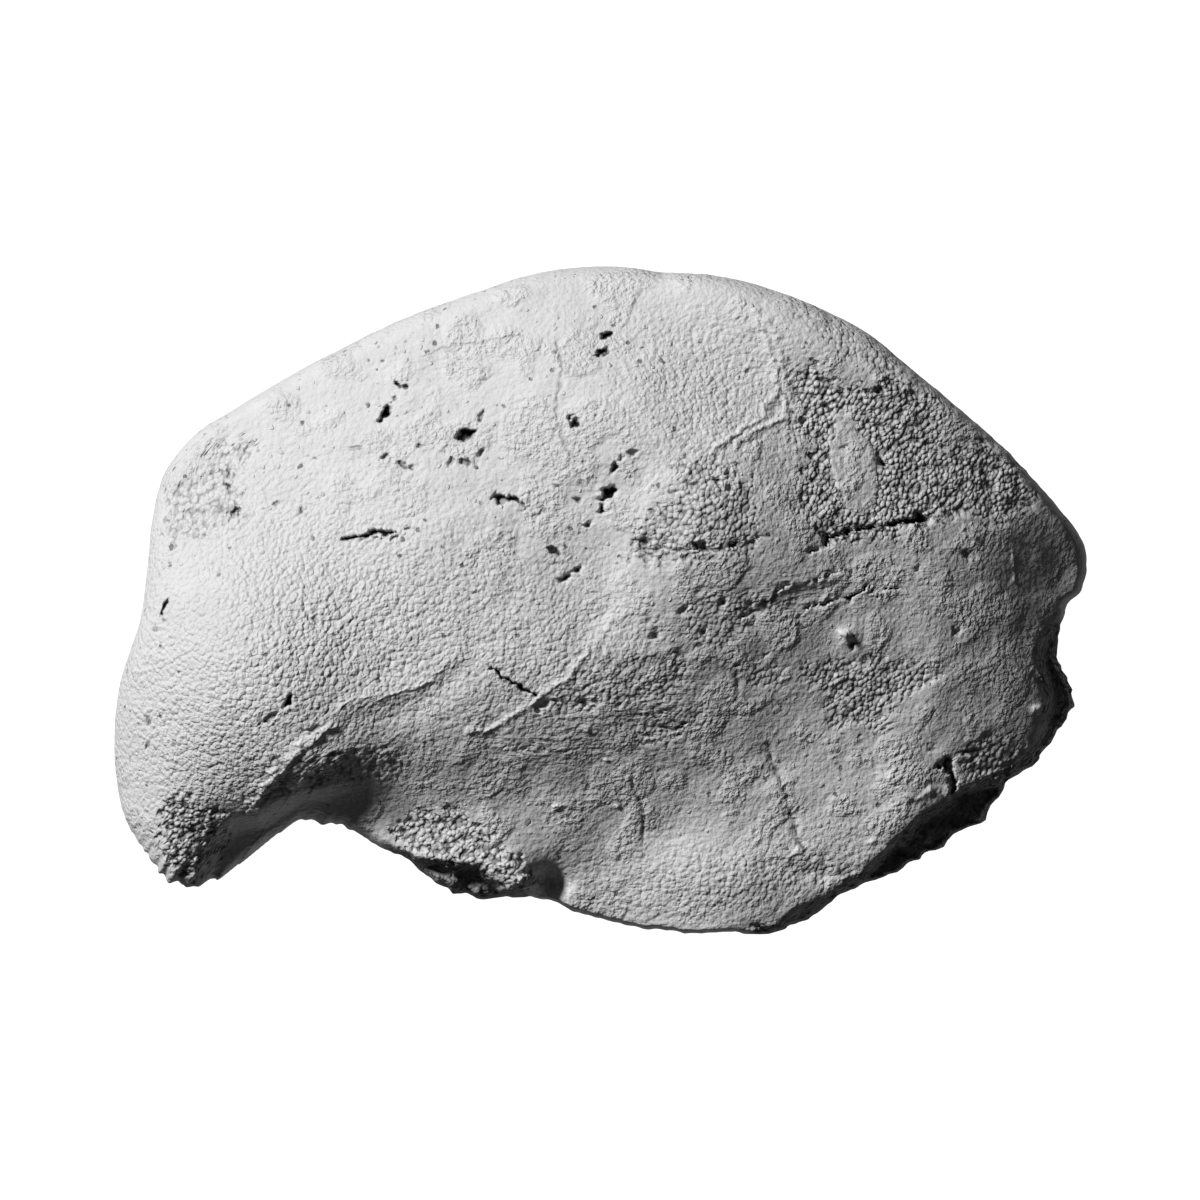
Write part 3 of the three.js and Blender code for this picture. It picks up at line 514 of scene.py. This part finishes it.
def packed_grains(x, y, size, seed):
    """Rounded grains packed side by side: 1 on top of a large one, 0 in the gaps"""
    dice = np.random.default_rng(seed)
    shift = dice.uniform(0.05, 0.95, (CELLS, CELLS, 2))
    big = dice.uniform(0.45, 1.0, (CELLS, CELLS))
    long = dice.uniform(0.75, 1.3, (CELLS, CELLS))
    x = x + 0.3 * size * cloud(x, y, 1.7 * size, seed + 20)
    y = y + 0.3 * size * cloud(x, y, 1.7 * size, seed + 21)
    column, row = np.floor(x / size).astype(int), np.floor(y / size).astype(int)
    top = np.zeros(x.shape)
    for i in (-1, 0, 1):
        for j in (-1, 0, 1):
            c, r = (column + i) % CELLS, (row + j) % CELLS
            u = (x / size - column - i - shift[c, r, 0]) * long[c, r]
            v = (y / size - row - j - shift[c, r, 1]) / long[c, r]
            away = np.hypot(u, v) / (0.35 + 0.4 * big[c, r])
            top = np.maximum(top, (0.4 + 0.6 * big[c, r]) * np.sqrt(np.clip(1 - away ** 2, 0, 1)))
    return top


def depth_inside(x, y, corners):
    """Distance to a polygon's edge, with a plus sign inside it"""
    distance = np.full(x.shape, np.inf)
    inside = np.zeros(x.shape, bool)
    for (ax, ay), (bx, by) in zip(corners, corners[1:] + corners[:1]):
        dx, dy = bx - ax, by - ay
        share = np.clip(((x - ax) * dx + (y - ay) * dy) / (dx * dx + dy * dy), 0, 1)
        distance = np.minimum(distance, np.hypot(x - ax - share * dx, y - ay - share * dy))
        if dy:
            crosses = ((ay > y) != (by > y)) & (x < ax + (y - ay) * dx / dy)
            inside ^= crosses
    return np.where(inside, distance, -distance)


def fine_gap(x, y, patches):
    """Distance from x, y to the nearest fine form, 0 inside one, with or without the bare patches"""
    gap = np.full(x.shape, np.inf)
    for form in PITS + KNOBS:
        gap = np.minimum(gap, np.hypot(x - form[0], y - form[1]) - max(form[2:4]))
    for half, _, path in CRACKS + HAIRLINES + WELTS:
        gap = np.minimum(gap, along_path(x, y, path)[0] - half)
    if patches:
        for _, corners in PATCHES:
            gap = np.minimum(gap, -depth_inside(x, y, corners))
        gap = np.where(broken_drop(x, y)[1] > 0.05, 0, gap)
    return np.maximum(gap, 0)


def fine_relief(x, y):
    """Height that the fine forms add, how much shade is painted into their pits, cracks, lines and grain
    gaps, and how the skin is textured
    """
    ragged = cloud(x, y, 0.11, 1) + 0.7 * cloud(x, y, 0.23, 2)
    height = (0.04 * cloud(x, y, 1.3, 3) + 0.028 * cloud(x, y, 0.6, 4) + 0.014 * cloud(x, y, 0.28, 5))
    grains = packed_grains(x, y, GRAIN, 6)
    painted_shade_amount = np.zeros(x.shape)
    bare = np.zeros(x.shape)
    island = ease(depth_inside(x, y, ISLAND) + 0.07 * ragged, -0.04, 0.04)
    for amount, corners in PATCHES:
        here = ease(depth_inside(x, y, corners) + 0.3 * ragged, -0.1, 0.1) * (1 - island)
        bare = np.maximum(bare, amount * here)
    height = height + bare * (GRAIN_RISE * (grains - 0.5) - SKIN)
    # Painted shade in the gaps between the bare grains
    painted_shade_amount = np.maximum(painted_shade_amount, 0.5 * np.clip(bare, 0, 1) * ease(0.4 - grains, 0, 0.4))
    # Pits and cracks are drawn on wavering ground, so their plain ovals and lines come out uneven
    level_x, level_y = x, y
    x = x + 0.09 * cloud(level_x, level_y, 0.3, 17) + 0.04 * cloud(level_x, level_y, 0.12, 18)
    y = y + 0.09 * cloud(level_x, level_y, 0.3, 19) + 0.04 * cloud(level_x, level_y, 0.12, 20)
    # Pits get painted shade inside, fuller the deeper they are and less where a grain stands up in them
    for form in PITS:
        hole = 1 - ease(oval_reach(x, y, form) + 0.35 * ragged, 0.5, 1.05)
        height = height - hole * (form[5] - 0.08 * grains)
        painted_shade_amount = np.maximum(painted_shade_amount, hole * min(1, form[5] / PIT_SHADE_DEPTH) * (1 - 0.5 * ease(grains, 0.6, 0.9)))
    beads = np.clip(0.55 + 0.6 * cloud(x, y, 0.4, 13) + 0.5 * cloud(x, y, 0.17, 14), 0.05, 1.5)
    # Cracks get painted shade inside, fuller the deeper they are
    for half, depth, path in CRACKS:
        distance, _, fade = along_path(x, y, path)
        hole = (1 - ease(distance / (half * beads) + 0.3 * ragged, 0.5, 1.3)) * ease(fade, 0, 0.3)
        height = height - depth * hole
        painted_shade_amount = np.maximum(painted_shade_amount, hole * min(1, depth / CRACK_SHADE_DEPTH))
    # Hairlines get painted shade along them, fuller the deeper they are
    for half, depth, path in HAIRLINES:
        distance, _, fade = along_path(x, y, path)
        line = np.exp(-(distance / half) ** 2) * fade * np.clip(0.9 + 0.4 * ragged, 0.2, 1)
        height = height - depth * line
        painted_shade_amount = np.maximum(painted_shade_amount, line * min(1, depth / LINE_SHADE_DEPTH))
    for half, rise, path in WELTS:
        distance, _, fade = along_path(x, y, path)
        height = height + rise * np.exp(-(distance / half) ** 2) * fade * (1 + 0.3 * ragged)
    for form in KNOBS:
        height = height + form[5] * (1 - ease(oval_reach(x, y, form) + 0.25 * ragged, 0.3, 1.2))
    x, y = level_x, level_y
    peel = np.clip(0.08 + sum(mound(x, y, form) for form in PEEL), 0, 1.2)
    streak = np.clip(sum(mound(x, y, form) for form in STREAKS), 0, 1)
    face = broken_drop(x, y)[1]
    rough = cloud(x, y, 0.5, 7) + 0.6 * cloud(x, y, 0.22, 8)
    height = height + face * (0.2 * rough + 0.15 * grains)
    # The first mark is painted shade: how dark the pits, cracks, lines and grain gaps are painted
    return height, {"painted_shade": painted_shade_amount, "bare": bare, "peel": peel, "streak": streak, "broken": face}


# The stone's mesh
# One closed skin, drawn out of a ball. It is split once more wherever the surface is worked, and
# again where a pit, a crack, a line or a knob has to show.
PATCH_REACH = 0.35      # the second splitting takes in this much ground round every fine form and patch
LINE_REACH = 0.07       # the third one takes in this much round pits, cracks, lines and knobs
NEAR_SIDE = -0.1        # the lowest point of the ball that is split again

ball_mesh = bmesh.new()
bmesh.ops.create_icosphere(ball_mesh, subdivisions=6, radius=1.0)
bmesh.ops.subdivide_edges(ball_mesh, edges=ball_mesh.edges[:], cuts=1, use_grid_fill=True)
ball_mesh.verts.index_update()
for reach, patches in ((PATCH_REACH, True), (LINE_REACH, False)):
    ball_mesh.verts.ensure_lookup_table()
    ball = np.array([v.co.normalized() for v in ball_mesh.verts])
    spot = place(ball)
    wanted = fine_gap(spot["x"], spot["y"], patches) < reach
    if patches:
        wanted |= spot["roll"] > 0
    wanted &= ball[:, 2] > NEAR_SIDE
    split = [e for e in ball_mesh.edges if wanted[e.verts[0].index] and wanted[e.verts[1].index]]
    bmesh.ops.subdivide_edges(ball_mesh, edges=split, cuts=1, use_grid_fill=True)
    ball_mesh.verts.index_update()
bmesh.ops.triangulate(ball_mesh, faces=[f for f in ball_mesh.faces if len(f.verts) > 3])

ball_mesh.verts.ensure_lookup_table()
ball = np.array([v.co.normalized() for v in ball_mesh.verts])
spot = place(ball)
upper = spot["upper"]
relief, marks = fine_relief(spot["x"], spot["y"])
drop = EDGE_ROUND * (1 - np.cos(spot["roll"]))
upper_height = roof(spot["x"], spot["y"]) + relief - drop

rim_relief = fine_relief(spot["edge_x"], spot["edge_y"])[0]
rim_height = roof(spot["edge_x"], spot["edge_y"]) + rim_relief - EDGE_ROUND
oval_height = slab(spot["oval_x"], spot["oval_y"]) - EDGE_ROUND
side_height = rim_height + spot["plain"] * (oval_height - rim_height)
under_height = side_height * (1 - HIDDEN_BULGE * np.sin(spot["under"]))
grounded = under_height <= 0
inside = np.sin(2 * spot["under"])
under_height = under_height + inside * sum(mound(spot["x"], spot["y"], form) for form in DENTS)
for cut_x, cut_y, slope_x, slope_y in BREAKS:
    above = slope_x * (spot["x"] - cut_x) + slope_y * (spot["y"] - cut_y) - under_height
    under_height = under_height + inside * 0.5 * (above + np.hypot(above, BREAK_ROUND))
worn = 0.25 * cloud(spot["x"], spot["y"], 2.7, 9) + 0.12 * cloud(spot["x"], spot["y"], 1.1, 22)
chipped = 0.06 * cloud(spot["x"], spot["y"], 0.5, 23)
under_height = under_height + inside * worn + np.minimum(1, 4 * inside) * chipped
under_height = np.where(grounded, 0, np.maximum(under_height, 0))

height = np.where(upper, upper_height, under_height)
points = np.stack([spot["x"], spot["y"], height], axis=1) * MILLIMETRE
low, high = (np.array(corner) for corner in cad_box)
points = np.clip(points, low, high)
for vertex, point in zip(ball_mesh.verts, points):
    vertex.co = point

stone_mesh = bpy.data.meshes.new("whitened_stone")
ball_mesh.to_mesh(stone_mesh)
ball_mesh.free()
stone_mesh.polygons.foreach_set("use_smooth", np.ones(len(stone_mesh.polygons), bool))

# The hidden side is weathered in patches, which fade in behind the rim
weathered = 0.6 * cloud(spot["x"] + spot["y"] / 3, height, 3.3, 24)
weathered = weathered + 0.3 * cloud(spot["x"], height, 1.1, 25)
weathered = weathered + 0.2 * cloud(spot["x"] - spot["y"] / 2, height, 0.4, 26)
behind = ease(spot["under"] + 0.1 * weathered, 0.02, 0.4)
hidden_marks = {
    "painted_shade": 0,
    "bare": behind * np.clip(0.3 + 0.8 * weathered, 0, 0.8),
    "peel": np.clip(0.4 - 0.4 * weathered, 0.1, 1),
    "streak": 0,
    "broken": behind * np.clip(0.35 + 0.4 * weathered, 0, 0.6),
}
for mark, values in marks.items():
    layer = stone_mesh.attributes.new(mark, "FLOAT", "POINT")
    values = np.where(upper, values, hidden_marks[mark]).astype(np.float32)
    layer.data.foreach_set("value", values)
whitened_stone = bpy.data.objects.new("whitened_stone", stone_mesh)
bpy.context.scene.collection.objects.link(whitened_stone)

# The stone's finish
# Fine-grained rock under a breath of white powder, as fossils are dusted before they are
# photographed. The powder doesn't reach into pits and cracks. These, the pores and the gaps between bare
# grains are painted nearly black as shade, darker the deeper a pit or crack is.
POWDER_WHITE = (0.8, 0.8, 0.8, 1)
POWDER_GREY = (0.7, 0.7, 0.7, 1)
BARE_ROCK = (0.32, 0.32, 0.32, 1)
# The near-black that is painted into pits, cracks, pores and grain gaps as shade
PAINTED_SHADE_BLACK = (0.012, 0.012, 0.012, 1)
GRAIN_SIZE = 0.00017    # the finish's own sizes are metres, as its Object coordinates are
SPECK_SPACING = 0.0003
FINE_SIZE = 0.00019
TONE_SIZE = 0.0011
PATCHY_SIZE = 0.0016
GRAIN_DEPTH = 0.00014
FINE_DEPTH = 0.00018
PORE_DEPTH = 0.00003
SPECK_RISE = 0.00005
STREAK_DEPTH = 0.0001
STREAK_SIZE = (0.0005, 0.00014, 0.0005)

finish = bpy.data.materials.new("whitened_stone")
finish.use_nodes = True
nodes, links = finish.node_tree.nodes, finish.node_tree.links
nodes.clear()
output = nodes.new("ShaderNodeOutputMaterial")
surface = nodes.new("ShaderNodeBsdfPrincipled")
surface.inputs["Roughness"].default_value = 0.95
surface.inputs["Specular IOR Level"].default_value = 0.15
links.new(surface.outputs["BSDF"], output.inputs["Surface"])
where = nodes.new("ShaderNodeTexCoord")


def mark_node(name):
    node = nodes.new("ShaderNodeAttribute")
    node.attribute_type = "GEOMETRY"
    node.attribute_name = name
    return node.outputs["Fac"]


def noise_node(size, detail):
    node = nodes.new("ShaderNodeTexNoise")
    node.inputs["Scale"].default_value = 1 / size
    node.inputs["Detail"].default_value = detail
    links.new(where.outputs["Object"], node.inputs["Vector"])
    return node.outputs["Fac"]


def math_node(operation, a, b):
    node = nodes.new("ShaderNodeMath")
    node.operation = operation
    for socket, value in zip(node.inputs, (a, b)):
        if isinstance(value, (int, float)):
            socket.default_value = value
        else:
            links.new(value, socket)
    return node.outputs["Value"]


def blend_node(mask, a, b):
    node = nodes.new("ShaderNodeMix")
    node.data_type = "RGBA"
    for socket, value in ((node.inputs["Factor"], mask), (node.inputs["A"], a), (node.inputs["B"], b)):
        if isinstance(value, tuple):
            socket.default_value = value
        else:
            links.new(value, socket)
    return node.outputs["Result"]


def cells_node(size):
    node = nodes.new("ShaderNodeTexVoronoi")
    node.inputs["Scale"].default_value = 1 / size
    links.new(where.outputs["Object"], node.inputs["Vector"])
    return node.outputs


def between_node(value, low, high):
    node = nodes.new("ShaderNodeMapRange")
    node.interpolation_type = "SMOOTHSTEP"
    node.inputs["From Min"].default_value = low
    node.inputs["From Max"].default_value = high
    links.new(value, node.inputs["Value"])
    return node.outputs["Result"]


# The first mark says how much shade is painted into pits, cracks, lines and grain gaps
painted_shade_mark, bare_mark, peel_mark = mark_node("painted_shade"), mark_node("bare"), mark_node("peel")
streak_mark, broken_mark = mark_node("streak"), mark_node("broken")

# Tiny open pores, and grains of sugar size that stand on the smooth skin
skin_cells = cells_node(SPECK_SPACING)
dice = nodes.new("ShaderNodeSeparateColor")
links.new(skin_cells["Color"], dice.inputs["Color"])
fine_noise = noise_node(FINE_SIZE, 3)
ruffle = math_node("MULTIPLY", math_node("SUBTRACT", fine_noise, 0.5), 1.2)
cell_away = math_node("ADD", skin_cells["Distance"], ruffle)
pore_cell = between_node(dice.outputs["Green"], 0.88, 0.97)
# Pores are sunk by the bump and also painted dark with shade inside them
pore = math_node("MULTIPLY", pore_cell, between_node(cell_away, 0.3, 0.1))
speck_cell = between_node(dice.outputs["Red"], 0.5, 0.7)
speck = math_node("MULTIPLY", speck_cell, between_node(cell_away, 0.26, 0.0))

# The skin is rough in patches and smoother between them
patchy = between_node(noise_node(PATCHY_SIZE, 1), 0.45, 0.62)
rough = math_node("ADD", math_node("MAXIMUM", math_node("MULTIPLY", patchy, 0.8), peel_mark), 0.3)

# Packed grains where the rock is bare, with painted shade in the gaps between them
grainy = math_node("MAXIMUM", bare_mark, math_node("MULTIPLY", broken_mark, 0.8))
grain_away = math_node("ADD", cells_node(GRAIN_SIZE)["Distance"], ruffle)
# How much shade is painted into the gaps between the bare grains
gap = math_node("MULTIPLY", between_node(grain_away, 0.5, 0.85), grainy)

tone = blend_node(noise_node(TONE_SIZE, 2), POWDER_GREY, POWDER_WHITE)
tone = blend_node(broken_mark, tone, BARE_ROCK)
# Painted shade inside the pores
tone = blend_node(math_node("MULTIPLY", pore, 0.7), tone, PAINTED_SHADE_BLACK)
# Painted shade in the gaps between the bare grains
tone = blend_node(math_node("MULTIPLY", gap, 0.6), tone, PAINTED_SHADE_BLACK)
# Painted shade: pits, cracks, lines and grain gaps are blended towards black by the painted shade mark
tone = blend_node(painted_shade_mark, tone, PAINTED_SHADE_BLACK)
links.new(tone, surface.inputs["Base Color"])

# Relief too fine for the mesh
grained = math_node("MAXIMUM", grainy, math_node("MULTIPLY", peel_mark, 0.55))
grain_round = math_node("MULTIPLY", grain_away, grain_away)
grain_height = math_node("MULTIPLY", math_node("MULTIPLY", grain_round, grained), -GRAIN_DEPTH)
fine_height = math_node("MULTIPLY", math_node("MULTIPLY", fine_noise, rough), FINE_DEPTH)
pore_height = math_node("MULTIPLY", pore, -PORE_DEPTH)
speck_height = math_node("MULTIPLY", speck, SPECK_RISE)
drawn = nodes.new("ShaderNodeMapping")
drawn.inputs["Rotation"].default_value = (0, 0, math.radians(-5))
drawn.inputs["Scale"].default_value = tuple(1 / size for size in STREAK_SIZE)
links.new(where.outputs["Object"], drawn.inputs["Vector"])
scratches = nodes.new("ShaderNodeTexNoise")
scratches.inputs["Scale"].default_value = 1.0
scratches.inputs["Detail"].default_value = 2
links.new(drawn.outputs["Vector"], scratches.inputs["Vector"])
scratched = math_node("MULTIPLY", scratches.outputs["Fac"], streak_mark)
streak_height = math_node("MULTIPLY", scratched, STREAK_DEPTH)
bump = nodes.new("ShaderNodeBump")
bump.inputs["Strength"].default_value = 1.0
bump.inputs["Distance"].default_value = 1.0
total = grain_height
for part in (fine_height, pore_height, speck_height, streak_height):
    total = math_node("ADD", total, part)
links.new(total, bump.inputs["Height"])
links.new(bump.outputs["Normal"], surface.inputs["Normal"])
stone_mesh.materials.append(finish)

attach(whitened_stone, "root")
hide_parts("fossil")

# Floor, light and camera
# A plain white floor, one hard studio light low on the upper left as fossils are lit, faint light
# from below that keeps the hidden side readable, and a long lens straight above.
FLOOR_SIZE = 1.2
FLOOR_TONE = 0.9
WHITE_LIGHT = math.pi / FLOOR_TONE      # strength of a sun overhead that lights the floor pure white
SHADED_SHARE = 0.45     # share of the floor's light that the stone keeps off it
GLOW_SHARE = 0.6        # share that reaches the floor under the stone too
KEY_FROM = Vector((-0.602, 0.487, 0.633))
KEY_STRENGTH = 3.6
KEY_SPREAD = 10
FILL_TURNS = (-60, 60, 180)
FILL_HEIGHT = -1.5
FILL_STRENGTH = 0.5
FILL_SPREAD = 60
AMBIENT = 0.02
FRAME_WIDTH = 0.0407
CAMERA_HEIGHT = 1.0
RIM_LEVEL = 0.0075

bpy.ops.mesh.primitive_plane_add(size=FLOOR_SIZE, location=(0, 0, 0))
floor = bpy.context.object
floor.name = "floor"
floor_finish = bpy.data.materials.new("floor_white")
floor_finish.use_nodes = True
floor_surface = floor_finish.node_tree.nodes["Principled BSDF"]
floor_surface.inputs["Base Color"].default_value = (FLOOR_TONE, FLOOR_TONE, FLOOR_TONE, 1)
floor_surface.inputs["Roughness"].default_value = 1.0
floor_surface.inputs["Specular IOR Level"].default_value = 0.0
floor.data.materials.append(floor_finish)
floor.visible_diffuse = False
floor.visible_glossy = False

stone_group = bpy.data.collections.new("lit_stone")
stone_group.objects.link(whitened_stone)
floor_group = bpy.data.collections.new("lit_floor")
floor_group.objects.link(floor)


def sun(name, direction, strength, spread, lit, shading):
    lamp = bpy.data.lights.new(name, "SUN")
    lamp.energy = strength
    lamp.angle = math.radians(spread)
    holder = bpy.data.objects.new(name, lamp)
    holder.rotation_euler = direction.to_track_quat("Z", "Y").to_euler()
    bpy.context.scene.collection.objects.link(holder)
    holder.light_linking.receiver_collection = lit
    holder.light_linking.blocker_collection = shading


sun("key", KEY_FROM, KEY_STRENGTH, KEY_SPREAD, stone_group, stone_group)
for turn in FILL_TURNS:
    low_down = Vector((math.cos(math.radians(turn)), math.sin(math.radians(turn)), FILL_HEIGHT))
    sun(f"under_fill_{turn}", low_down, FILL_STRENGTH, FILL_SPREAD, stone_group, stone_group)
overhead = Vector((0, 0, 1))
sun("floor_light", overhead, SHADED_SHARE * WHITE_LIGHT, 0.5, floor_group, stone_group)
sun("floor_glow", overhead, GLOW_SHARE * WHITE_LIGHT, 0.5, floor_group, floor_group)

world = bpy.data.worlds.new("studio")
bpy.context.scene.world = world
world.use_nodes = True
sky = world.node_tree.nodes
sky_links = world.node_tree.links
sky.clear()
dim, bright = sky.new("ShaderNodeBackground"), sky.new("ShaderNodeBackground")
dim.inputs["Strength"].default_value = AMBIENT
bright.inputs["Strength"].default_value = 1.0
dim.inputs["Color"].default_value = bright.inputs["Color"].default_value = (1, 1, 1, 1)
ray = sky.new("ShaderNodeLightPath")
choose = sky.new("ShaderNodeMixShader")
sky_out = sky.new("ShaderNodeOutputWorld")
sky_links.new(ray.outputs["Is Camera Ray"], choose.inputs["Fac"])
sky_links.new(dim.outputs["Background"], choose.inputs[1])
sky_links.new(bright.outputs["Background"], choose.inputs[2])
sky_links.new(choose.outputs["Shader"], sky_out.inputs["Surface"])

bpy.context.scene.view_settings.view_transform = "Standard"

lens = bpy.data.cameras.new("camera")
lens.sensor_width = 36
lens.lens = lens.sensor_width * (CAMERA_HEIGHT - RIM_LEVEL) / FRAME_WIDTH
lens.clip_start = 0.01
lens.clip_end = 10
camera = bpy.data.objects.new("camera", lens)
camera.location = (-0.00005, 0.00002, CAMERA_HEIGHT)
bpy.context.scene.collection.objects.link(camera)
bpy.context.scene.camera = camera
